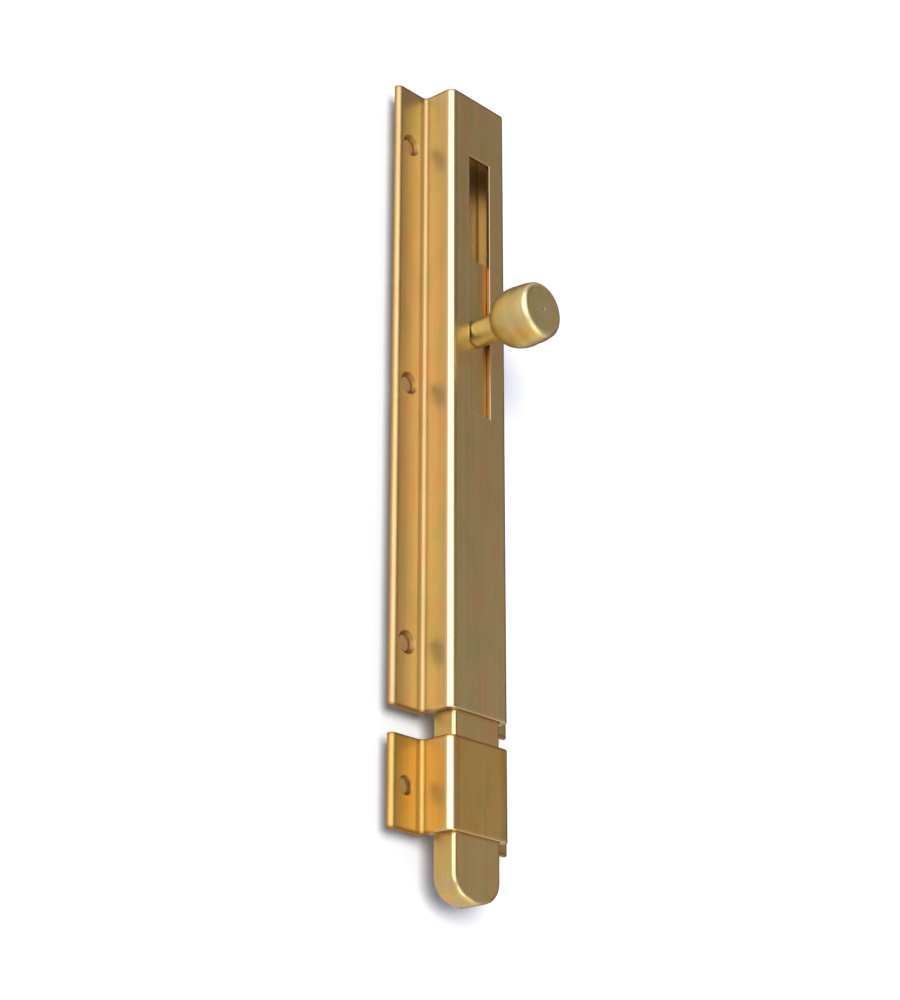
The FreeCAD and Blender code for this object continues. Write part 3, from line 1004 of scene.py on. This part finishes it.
@dataclass
class SlidingBolt:
    """Flat bar with rounded front edges and a low pointed tip, a hole for the knob and a spring's pocket."""

    extent: Extent
    knob_height: float
    spring: Extent
    edge_round: float = 1.0
    back_chamfer: float = 0.3
    edge_rub: float = 0.8
    painted_ramp_middle: float = 0.5     # middle of a painted ramp over the front edges' wear: its share at the middle of the tip, of the left edge's
    painted_ramp_floor: float = -0.4       # its floor on the right edge, where a negative share paints that edge darker
    saw_edge: float = 0.12      # burr filed off the front edge of the sawn top end
    tip_rise: float = 2.2
    nose_radius: float = 6.0
    corner_radius: float = 5.2
    spigot_hole: float = 2.0
    spigot_depth: float = 4.5
    hole_facets: int = 40
    pocket_half: float = 3.5
    pocket_end_play: float = 1.2
    pocket_depth: float = 1.8

    def outline(self) -> np.ndarray:
        """Front outline: a straight top, straight sides, and a tip of two low slopes joined by tangent arcs.

        A slope of angle a starts where it touches the nose circle, r sin a from the middle line, and ends
        where it touches the corner circle, whose centre lies one corner radius inside both side and slope.

        Returns:
            Closed loop of shape (n, 2), as (x, z), from the top right corner round to the top left one.
        """
        half, (tip, top) = self.extent.high[0], self.extent.side(2)
        slope = math.atan2(self.tip_rise, half)
        turn = math.degrees(slope)
        vertex = tip - self.nose_radius * (1 / math.cos(slope) - 1)
        across = half - self.corner_radius
        corner = vertex + across * math.tan(slope) + self.corner_radius / math.cos(slope)
        right = arc((across, corner), self.corner_radius, 0, turn - 90, facets=12)
        nose = arc((0.0, tip + self.nose_radius), self.nose_radius, turn - 90, -90 - turn, facets=8)
        return np.concatenate([[[half, top]], right, nose, mirrored(right), [[-half, top]]])

    def build(self) -> bpy.types.Object:
        """Carries the outline from the back to the front, with a chamfer behind and a round before.

        The sawn top end stays square: there the rings keep their height, less the filed edge at the front.

        Returns:
            The piece.
        """
        (front, back), top = self.extent.side(1), self.extent.high[2]
        loop = self.outline()
        rounded = rounded_rows(-back, -front, 0.0, self.edge_round, facets=8)
        edge = rounded[rounded[:, 1] > -back + self.back_chamfer]
        rows = np.concatenate([[[self.back_chamfer, -back], [0.0, -back + self.back_chamfer]], edge])
        rows[:, 1] *= -1
        rings = carried(loop, rows, Along.Y)
        filed = top - np.clip(self.saw_edge - (rows[1:, 1] - front), 0, None)
        rings[1:, 0, 2] = filed
        rings[1:, -1, 2] = filed
        wear_and_painted_light = np.sin(np.pi * np.clip(rows[:, 0] / self.edge_round, 0, 1)) * self.edge_rub
        # Painted light and shade: the front edges' wear ramps from full on the left edge down to darker on
        # the right.
        side = np.clip(self.painted_ramp_middle - loop[:, 0] / self.nose_radius, self.painted_ramp_floor, 1)
        skin = Skin("bolt_bar")
        skin.grid(rings, wear_and_painted_light[:, None] * side[None, :])
        hole = circle((0.0, self.knob_height), self.spigot_hole, self.hole_facets)
        low, high = self.spring.side(2)
        middle, reach = (low + high) / 2, (high - low) / 2 + self.pocket_end_play
        pocket = rectangle((-self.pocket_half, middle - reach), (self.pocket_half, middle + reach))
        openings = ((hole, front, front + self.spigot_depth), (pocket, back, back - self.pocket_depth))
        for ring, (opening, mouth, floor) in zip((rings[-1], rings[0]), openings):
            sunk = np.stack([placed(opening, Along.Y, depth) for depth in (mouth, floor)])
            skin.cap([ring, sunk[0]])
            skin.grid(sunk)
            skin.cap([sunk[1]])
        return skin.piece()


@dataclass
class Knob:
    """Turned knob: a barrel head with a flat end, a neck, and a spigot screwed into the bolt."""

    height: float
    end: float
    bolt_front: float
    neck: float = 3.25              # radius of the neck
    neck_fillet: float = 0.5
    root: float = -15.8             # depth at which the barrel starts
    ring: float = 4.6               # end face to the widest place
    widest: float = 6.85
    end_radius: float = 6.6
    end_round: float = 1.5
    back_fullness: float = 0.82     # share of the widening from the root that is reached at the next place
    back_full_at: float = 0.62      # that place, as a share of the way from the widest one to the root
    nose_drop: float = 0.27         # share of the narrowing that is reached half way to the end face
    back_facets: int = 22
    nose_facets: int = 12
    easing: int = 5
    mark_radius: float = 0.4        # lathe's centre mark in the end face
    mark_depth: float = 0.15
    mark_lip: float = 0.06
    spigot: float = 1.95
    spigot_length: float = 4.0
    spigot_chamfer: float = 0.3
    segments: int = 112
    root_shade_height: float = 0.7       # how far the painted shade reaches up the neck from the bolt
    root_painted_shade: float = -0.9
    end_rub: float = 0.6
    face_rub: float = 0.35
    # the lathe's centre mark is darker
    mark_darkening: float = -0.4

    def eased(self, points: np.ndarray) -> np.ndarray:
        """Outline with its creases eased: each pass sets a point half way to the mean of its neighbours."""
        for _ in range(self.easing):
            moved = (points[:-2] + 2 * points[1:-1] + points[2:]) / 4
            points = np.concatenate([points[:1], moved, points[-1:]])
        return points

    def profile(self) -> tuple[np.ndarray, np.ndarray]:
        """Turned outline as (radius, depth) from the spigot's end to the centre mark, and its wear, darkening
        and painted shade.
        """
        ring = self.end + self.ring
        root = self.neck + self.neck_fillet
        back_full = (root + (self.widest - root) * self.back_fullness,
                     ring + (self.root - ring) * self.back_full_at)
        nose_full = (self.widest - (self.widest - self.end_radius) * self.nose_drop, ring - self.ring / 2)
        nose_end = (self.end_radius, self.end + self.end_round)
        spigot_end = self.bolt_front + self.spigot_length
        end_arc = arc((self.end_radius - self.end_round, nose_end[1]), self.end_round, 0, -90, facets=7)
        barrel = np.concatenate([
            arc_through((root, self.root), back_full, (self.widest, ring), self.back_facets),
            arc_through((self.widest, ring), nose_full, nose_end, self.nose_facets)[1:],
        ])
        chamfer = self.spigot_chamfer
        spigot = [[0.0, spigot_end], [self.spigot - chamfer, spigot_end], [self.spigot, spigot_end - chamfer]]
        mark = [[self.mark_radius, self.end + self.mark_lip], [0.0, self.end + self.mark_depth]]
        return joined([
            (np.array(spigot), 0.0),
            # Painted shade where the neck meets the bolt, fading up the neck.
            (np.array([[self.spigot, self.bolt_front], [self.neck, self.bolt_front]]), self.root_painted_shade),
            (np.array([[self.neck, self.bolt_front - self.root_shade_height]]), 0.0),
            (arc((root, self.root + self.neck_fillet), self.neck_fillet, 180, 270, facets=5), 0.0),
            (self.eased(barrel), 0.0),
            (end_arc, rubbed(end_arc, self.end_rub)),
            (np.array([[self.mark_radius + self.mark_lip, self.end]]), self.face_rub),
            (np.array(mark), self.mark_darkening),
        ])

    def build(self) -> bpy.types.Object:
        """Turns the outline round the knob's axis: x is r cos a, z is the axis height plus r sin a.

        Returns:
            The piece.
        """
        outline, wear_and_painted_light = self.profile()
        angle = np.linspace(0, 2 * np.pi, self.segments, endpoint=False)
        radius, depth = outline[:, :1], outline[:, 1:]
        points = np.stack(np.broadcast_arrays(
            radius * np.cos(angle), depth, self.height + radius * np.sin(angle)), axis=-1)
        skin = Skin("turned_knob")
        skin.grid(points, wear_and_painted_light[:, None])
        return skin.piece()


@dataclass
class CoverPlate:
    """Thin rolled plate with rounded corners that closes the box behind the bolt."""

    extent: Extent
    corner: float = 1.0
    edge_round: float = 0.15

    def build(self) -> bpy.types.Object:
        """Carries the plate's outline through its thickness.

        Returns:
            The piece.
        """
        half, (low, high) = self.extent.high[0], self.extent.side(2)
        corner = self.corner
        right = np.concatenate([
            arc((half - corner, low + corner), corner, -90, 0, facets=4),
            arc((half - corner, high - corner), corner, 0, 90, facets=4),
        ])
        loop = np.concatenate([right, mirrored(right)])
        rows = rounded_rows(*self.extent.side(1), self.edge_round, self.edge_round, facets=2)
        return plate_of("cover_plate", loop, rows, Along.Y)


@dataclass
class LeafSpring:
    """Bowed strip in the bolt's pocket, whose crown rubs on the cover plate."""

    extent: Extent
    thickness: float = 0.35
    foot: float = 3.0
    edge_round: float = 0.1
    facets: int = 40
    rub: float = 0.2

    def build(self) -> bpy.types.Object:
        """Carries the strip's side view across its width. Each face is two flat feet and an arc between them.

        Returns:
            The piece.
        """
        low, high = self.extent.side(2)
        feet, crown = self.extent.side(1)
        middle = (low + high) / 2
        ends = (low + self.foot, high - self.foot)
        above = feet + self.thickness
        inner = arc_through((feet, ends[0]), (crown - self.thickness, middle), (feet, ends[1]), self.facets)
        outer = arc_through((above, ends[0]), (crown, middle), (above, ends[1]), self.facets)
        far_end = [[feet, high], [above, high]]
        loop = np.concatenate([[[feet, low]], inner, far_end, outer[::-1], [[above, low]]])
        rows = rounded_rows(*self.extent.side(0), self.edge_round, self.edge_round, facets=2)
        return plate_of("leaf_spring", loop, rows, Along.X, self.rub)


@dataclass(frozen=True)
class Lamp:
    """A soft patch of the studio's walls, by its direction from the object."""

    azimuth: float      # degrees from +X, turning towards +Y
    elevation: float
    inner: float        # angle within which it has its full level
    outer: float        # angle beyond which it is gone
    level: float
    colour: str = "#FFFFFF"

    def direction(self) -> tuple[float, float, float]:
        """Unit vector towards the middle of the patch."""
        turn, rise = math.radians(self.azimuth), math.radians(self.elevation)
        return math.cos(turn) * math.cos(rise), math.sin(turn) * math.cos(rise), math.sin(rise)

    def light(self) -> tuple[float, float, float, float]:
        """Linear colour of the patch times its level."""
        return scaled(self.colour, self.level)


@dataclass
class Studio:
    """Pale backdrop just behind the mounting face, with painted shade and a painted glow on it behind the
    brass, a soft key light, and walls that the brass reflects.
    """

    covering: tuple[Extent, ...]    # the lengths of section that lie close over the backdrop
    gap: float = 4.5
    half_size: float = 900.0
    backdrop: str = "#FFFFFF"
    shade: str = "#A07C4C"      # painted glow of the light that the brass throws on the paper close behind it
    shade_inset: tuple[float, float] = (6.0, 3.0)   # how far inside an outline it starts, across and along
    shade_edge: float = 1.0
    key_direction: tuple[float, float, float] = (-0.70, -1.0, -0.02)
    key_strength: float = 2.9
    key_spread: float = 28.0
    fill: str = "#E8ECFF"
    fill_level: float = 0.45
    walls: str = "#FFF6F0"
    wall_level: float = 0.92
    lamps: tuple[Lamp, ...] = (
        Lamp(azimuth=290, elevation=33, inner=8, outer=44, level=0.20, colour="#FFE6C8"),
        Lamp(azimuth=45, elevation=45, inner=20, outer=40, level=0.12),
        Lamp(azimuth=12, elevation=12, inner=28, outer=46, level=0.14),
        Lamp(azimuth=318, elevation=-10, inner=8, outer=28, level=0.45),
        Lamp(azimuth=0, elevation=-80, inner=18, outer=50, level=1.35, colour="#FFEBB8"),
        Lamp(azimuth=138, elevation=30, inner=9, outer=24, level=1.15, colour="#FFDCAC"),
        Lamp(azimuth=220, elevation=14, inner=34, outer=42, level=2.75),
        Lamp(azimuth=276, elevation=-44, inner=20, outer=29, level=1.95),
    )

    def build(self) -> None:
        """Makes the backdrop, the key light and the world."""
        self.build_backdrop()
        self.build_key()
        self.build_world()

    def build_backdrop(self) -> None:
        """Plane behind the object that takes its shadow, clear when it is seen from behind. Close behind the
        body and the keeper its paper is painted black, a painted shade, and glows with painted bounced light.
        """
        place, half = self.gap * MM, self.half_size * MM
        corners = rectangle((-half, -half), (half, half))
        mesh = bpy.data.meshes.new("backdrop")
        mesh.from_pydata([(x, place, z) for x, z in corners], [], [(0, 1, 2, 3)])
        plane = linked("backdrop", mesh)
        material = bpy.data.materials.new("backdrop_paper")
        material.use_nodes = True
        tree = material.node_tree
        tree.nodes.clear()
        painted_shade_mask = self.painted_shade_mask(tree)
        # Painted shade: inside the mask the paper is black and takes no light.
        colour = add_node(tree, "ShaderNodeMix", COLOURS,
                          {FIRST: linear(self.backdrop), SECOND: linear("#000000")}, {FACTOR: painted_shade_mask})
        paper = add_node(tree, "ShaderNodeBsdfDiffuse", {}, {}, {"Color": colour.outputs[MIXED]})
        # Painted light: there the paper glows in the colour of light thrown off the brass, though it is no
        # lamp.
        glow = add_node(tree, "ShaderNodeEmission", {}, {"Color": linear(self.shade)}, {"Strength": painted_shade_mask})
        front = add_node(tree, "ShaderNodeAddShader", {}, {}, {0: paper, 1: glow})
        clear = add_node(tree, "ShaderNodeBsdfTransparent")
        behind = add_node(tree, "ShaderNodeNewGeometry").outputs["Backfacing"]
        both = add_node(tree, "ShaderNodeMixShader", {}, {},
                        {0: behind, 1: front, 2: clear})
        add_node(tree, "ShaderNodeOutputMaterial", {}, {}, {0: both})
        mesh.materials.append(material)
        plane.visible_glossy = False

    def band(self, tree: Tree, value: Socket, low: float, high: float) -> Socket:
        """Mask along one axis: 1 between two places, falling smoothly to 0 as it reaches them.

        Args:
            tree: The backdrop's node tree.
            value: Coordinate in metres.
            low: Lower place, in millimetres.
            high: Higher place, in millimetres.

        Returns:
            The mask.
        """
        middle, half = (low + high) / 2 * MM, (high - low) / 2 * MM
        aside = add_node(tree, "ShaderNodeMath", {"operation": "SUBTRACT"}, {1: middle}, {0: value})
        away = add_node(tree, "ShaderNodeMath", {"operation": "ABSOLUTE"}, {}, {0: aside})
        edge = {FROM_LOW: half, FROM_HIGH: half - self.shade_edge * MM}
        return add_node(tree, "ShaderNodeMapRange", SMOOTH, edge, {0: away}).outputs[0]

    def painted_shade_mask(self, tree: Tree) -> Socket:
        """Mask of the painted shade and glow on the paper close behind the body and the keeper: a rectangle
        inside the outline of each.

        Args:
            tree: The backdrop's node tree.

        Returns:
            The mask.
        """
        place = add_node(tree, "ShaderNodeTexCoord").outputs["Object"]
        axes = add_node(tree, "ShaderNodeSeparateXYZ", {}, {}, {0: place}).outputs
        across, along = self.shade_inset
        mask = None
        for cover in self.covering:
            wide = self.band(tree, axes[0], cover.low[0] + across, cover.high[0] - across)
            long = self.band(tree, axes[2], cover.low[2] + along, cover.high[2] - along)
            both = add_node(tree, "ShaderNodeMath", {"operation": "MULTIPLY"}, {}, {0: wide, 1: long})
            links = {0: both} if mask is None else {0: both, 1: mask}
            mask = add_node(tree, "ShaderNodeMath", {"operation": "MAXIMUM"}, {1: 0.0}, links).outputs[0]
        return mask

    def build_key(self) -> None:
        """Key from beside the camera, which draws the shadow on the backdrop and not its own glare."""
        lamp = bpy.data.lights.new("key", "SUN")
        lamp.energy = self.key_strength
        lamp.angle = math.radians(self.key_spread)
        key = linked("key", lamp)
        key.rotation_mode = "QUATERNION"
        key.rotation_quaternion = Vector(self.key_direction).to_track_quat("Z", "Y")
        key.visible_glossy = False

    def patch(self, tree: Tree, direction: Socket, lamp: Lamp) -> Socket:
        """Mask of a patch: 1 inside its inner angle, 0 outside its outer one, smooth between.

        Args:
            tree: The world's node tree.
            direction: Direction that a ray leaves in.
            lamp: The patch.

        Returns:
            The mask.
        """
        toward = add_node(tree, "ShaderNodeVectorMath", {"operation": "DOT_PRODUCT"}, {1: lamp.direction()},
                          {0: direction})
        outer, inner = (math.cos(math.radians(angle)) for angle in (lamp.outer, lamp.inner))
        return add_node(tree, "ShaderNodeMapRange", SMOOTH, {FROM_LOW: outer, FROM_HIGH: inner},
                        {0: toward.outputs["Value"]}).outputs[0]

    def build_world(self) -> None:
        """World that glossy rays see as pale walls with bright cards, and the camera as a white backdrop."""
        world = bpy.data.worlds.new("studio")
        bpy.context.scene.world = world
        world.use_nodes = True
        tree = world.node_tree
        tree.nodes.clear()
        direction = add_node(tree, "ShaderNodeTexCoord").outputs["Generated"]
        light = add_node(tree, "ShaderNodeRGB")
        light.outputs[0].default_value = scaled(self.walls, self.wall_level)
        light = light.outputs[0]
        for lamp in self.lamps:
            light = add_node(tree, "ShaderNodeMix", COLOURS, {SECOND: lamp.light()},
                             {FACTOR: self.patch(tree, direction, lamp), FIRST: light}).outputs[MIXED]
        path = add_node(tree, "ShaderNodeLightPath").outputs
        shown = path["Is Camera Ray"]
        for kind in ("Is Glossy Ray", "Is Transmission Ray"):
            shown = add_node(tree, "ShaderNodeMath", {"operation": "MAXIMUM"}, {},
                             {0: shown, 1: path[kind]}).outputs[0]
        # A ray that has come off the paper, at a diffuse depth of 1 or more, sees only the fill, also after
        # the brass has turned it.
        first = add_node(tree, "ShaderNodeMath", {"operation": "LESS_THAN"}, {1: 0.5},
                         {0: path["Diffuse Depth"]}).outputs[0]
        shown = add_node(tree, "ShaderNodeMath", {"operation": "MULTIPLY"}, {},
                         {0: shown, 1: first}).outputs[0]
        colour = add_node(tree, "ShaderNodeMix", COLOURS, {FIRST: scaled(self.fill, self.fill_level)},
                          {FACTOR: shown, SECOND: light})
        colour = add_node(tree, "ShaderNodeMix", COLOURS, {SECOND: linear(self.backdrop)},
                          {FACTOR: path["Is Camera Ray"], FIRST: colour.outputs[MIXED]})
        background = add_node(tree, "ShaderNodeBackground", {}, {"Strength": 1.0},
                              {"Color": colour.outputs[MIXED]})
        add_node(tree, "ShaderNodeOutputWorld", {}, {}, {0: background})


@dataclass
class PhotoCamera:
    """Camera at the photograph's place: left of the bolt, in front of it and a little below."""

    azimuth: float = -48.362
    elevation: float = -21.249
    roll: float = 0.106
    distance: float = 510.044
    target: tuple[float, float, float] = (0.0, 0.0, -14.787)
    pan: tuple[float, float] = (0.616, -7.991)
    focal_pixels: float = 2266.355
    image_height: float = 1000.0
    sensor: float = 36.0
    clip: tuple[float, float] = (0.01, 20.0)    # metres

    def axes(self) -> tuple[Vector, Vector, Vector]:
        """Right, up and back of the view before its roll. Back is (sin a cos e, -cos a cos e, sin e)."""
        turn, rise = math.radians(self.azimuth), math.radians(self.elevation)
        back = Vector((math.sin(turn) * math.cos(rise), -math.cos(turn) * math.cos(rise), math.sin(rise)))
        right = Vector((math.cos(turn), math.sin(turn), 0))
        return right, back.cross(right), back

    def eye(self) -> Vector:
        """Place of the camera in millimetres: back from the target, then moved sideways by the pan."""
        right, up, back = self.axes()
        return Vector(self.target) + back * self.distance + right * self.pan[0] + up * self.pan[1]

    def build(self) -> None:
        """Makes the camera and points it along its axes."""
        data = bpy.data.cameras.new("photo_camera")
        data.sensor_width = self.sensor
        data.lens = self.focal_pixels * self.sensor / self.image_height
        data.clip_start, data.clip_end = self.clip
        camera = linked("photo_camera", data)
        turned = Matrix.Rotation(math.radians(self.roll), 4, "Z")
        pose = Matrix(self.axes()).transposed().to_4x4() @ turned
        pose.translation = self.eye() * MM
        camera.matrix_world = pose
        bpy.context.scene.camera = camera


@dataclass
class DoorBolt:
    """The whole bolt: body and cover plate, keeper, and the sliding bolt with its knob and spring."""

    section: HatSection = field(default_factory=HatSection.from_frame)
    body_sink: float = 2.6
    keeper_sink: float = 2.1
    slot: tuple[float, float] = (-5.4, 59.3)

    @staticmethod
    def mount(name: str) -> dict:
        """A mount of the record, by its name."""
        return next(mount for mount in frame["record"]["mounts"] if mount["name"] == name)

    def rows(self) -> tuple[float, ...]:
        """Heights of the body's three rows of screw holes, from the outer screws' stated spacing."""
        run = self.mount("body_screws_outer")["dims"]["spacing_y_mm"]
        return -run / 2, 0.0, run / 2

    def build_body(self) -> None:
        """The slotted body and its cover plate."""
        extent = Extent.of("body_channel")
        body = SectionLength("slotted_body", self.section, *extent.side(2), self.rows(),
                             sink_radius=self.body_sink, slot=self.slot)
        # Drawn and polished bar, handled for years: long soft streaks, and edges that flash nearly white.
        drawn = Brass("drawn_brass_body", clean="#C8B17F", warm="#CEA97C", olive="#BCAE76",
                      rubbed="#CCBE9E", roughness=0.38, rubbed_roughness=0.18)
        dress(body.build(), drawn.material(), "body", "body_channel")
        # Rolled sheet that is never polished: a broad dull glow behind the slot.
        sheet = Brass("rolled_brass_sheet", clean="#CAAC74", warm="#CEA470", olive="#B8A066",
                      rubbed="#D0BC90", roughness=0.48, rubbed_roughness=0.30)
        plate = CoverPlate(Extent.of("back_plate"))
        dress(plate.build(), sheet.material(), "body", "back_plate")

    def build_keeper(self) -> None:
        """The keeper, cut from the same section."""
        extent = Extent.of("keeper")
        row = self.mount("keeper_screws")["pos_m"][2] / MM
        keeper = SectionLength("keeper_piece", self.section, *extent.side(2), (row,),
                               sink_radius=self.keeper_sink, line_spacing=4.0)
        # The same drawn bar with a little more film on it: a deeper, warmer gold.
        drawn = Brass("drawn_brass_keeper", clean="#CEAC66", warm="#D2A25A", olive="#C0A860",
                      rubbed="#D2C4A6", roughness=0.37, rubbed_roughness=0.18)
        dress(keeper.build(), drawn.material(), "body", "keeper")

    def build_bolt(self) -> None:
        """The sliding bolt with its knob and its spring."""
        extent, knob = Extent.of("sliding_bolt"), Extent.of("knob")
        spring = Extent.of("friction_spring")
        height = (knob.low[2] + knob.high[2]) / 2
        # Drawn flat bar, burnished by sliding: smooth, with one bright front edge, the left one painted
        # brighter and the right one painted darker.
        drawn = Brass("drawn_brass_bar", clean="#CAB078", warm="#CCA672", olive="#BEAE70",
                      rubbed="#D0C098", roughness=0.33, rubbed_roughness=0.18)
        bar = SlidingBolt(extent, height, spring)
        dress(bar.build(), drawn.material(), "bolt", "sliding_bolt")
        # Turned and left satin: fine rings round its axis that spread its highlights.
        turned = Brass("turned_satin_brass", clean="#C8B680", warm="#CCB07C", olive="#C0B278",
                       rubbed="#DED2AC", roughness=0.40, rubbed_roughness=0.30, marks=Marks.TURNED,
                       centre=(0.0, 0.0, height), mark_spacing=0.35, stripe_share=0.0)
        grip = Knob(height, knob.low[1], extent.low[1])
        dress(grip.build(), turned.material(), "bolt", "knob")
        # Hard rolled strip: redder than brass, with a clean tight shine.
        bronze = Brass("phosphor_bronze_strip", clean="#C48A5C", warm="#C07E54", olive="#A87C50",
                       rubbed="#D8A880", roughness=0.25, rubbed_roughness=0.18)
        dress(LeafSpring(spring).build(), bronze.material(), "bolt", "friction_spring")

    def build(self) -> None:
        """Builds every sub-assembly."""
        self.build_body()
        self.build_keeper()
        self.build_bolt()


def main() -> None:
    """Builds the bolt, the studio and the camera."""
    logging.basicConfig(level=logging.INFO, format="%(name)s: %(message)s")
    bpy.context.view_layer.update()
    DoorBolt().build()
    Studio((Extent.of("body_channel"), Extent.of("keeper"))).build()
    PhotoCamera().build()
    bpy.context.scene.view_settings.view_transform = "Standard"


if __name__ == "__main__":
    main()
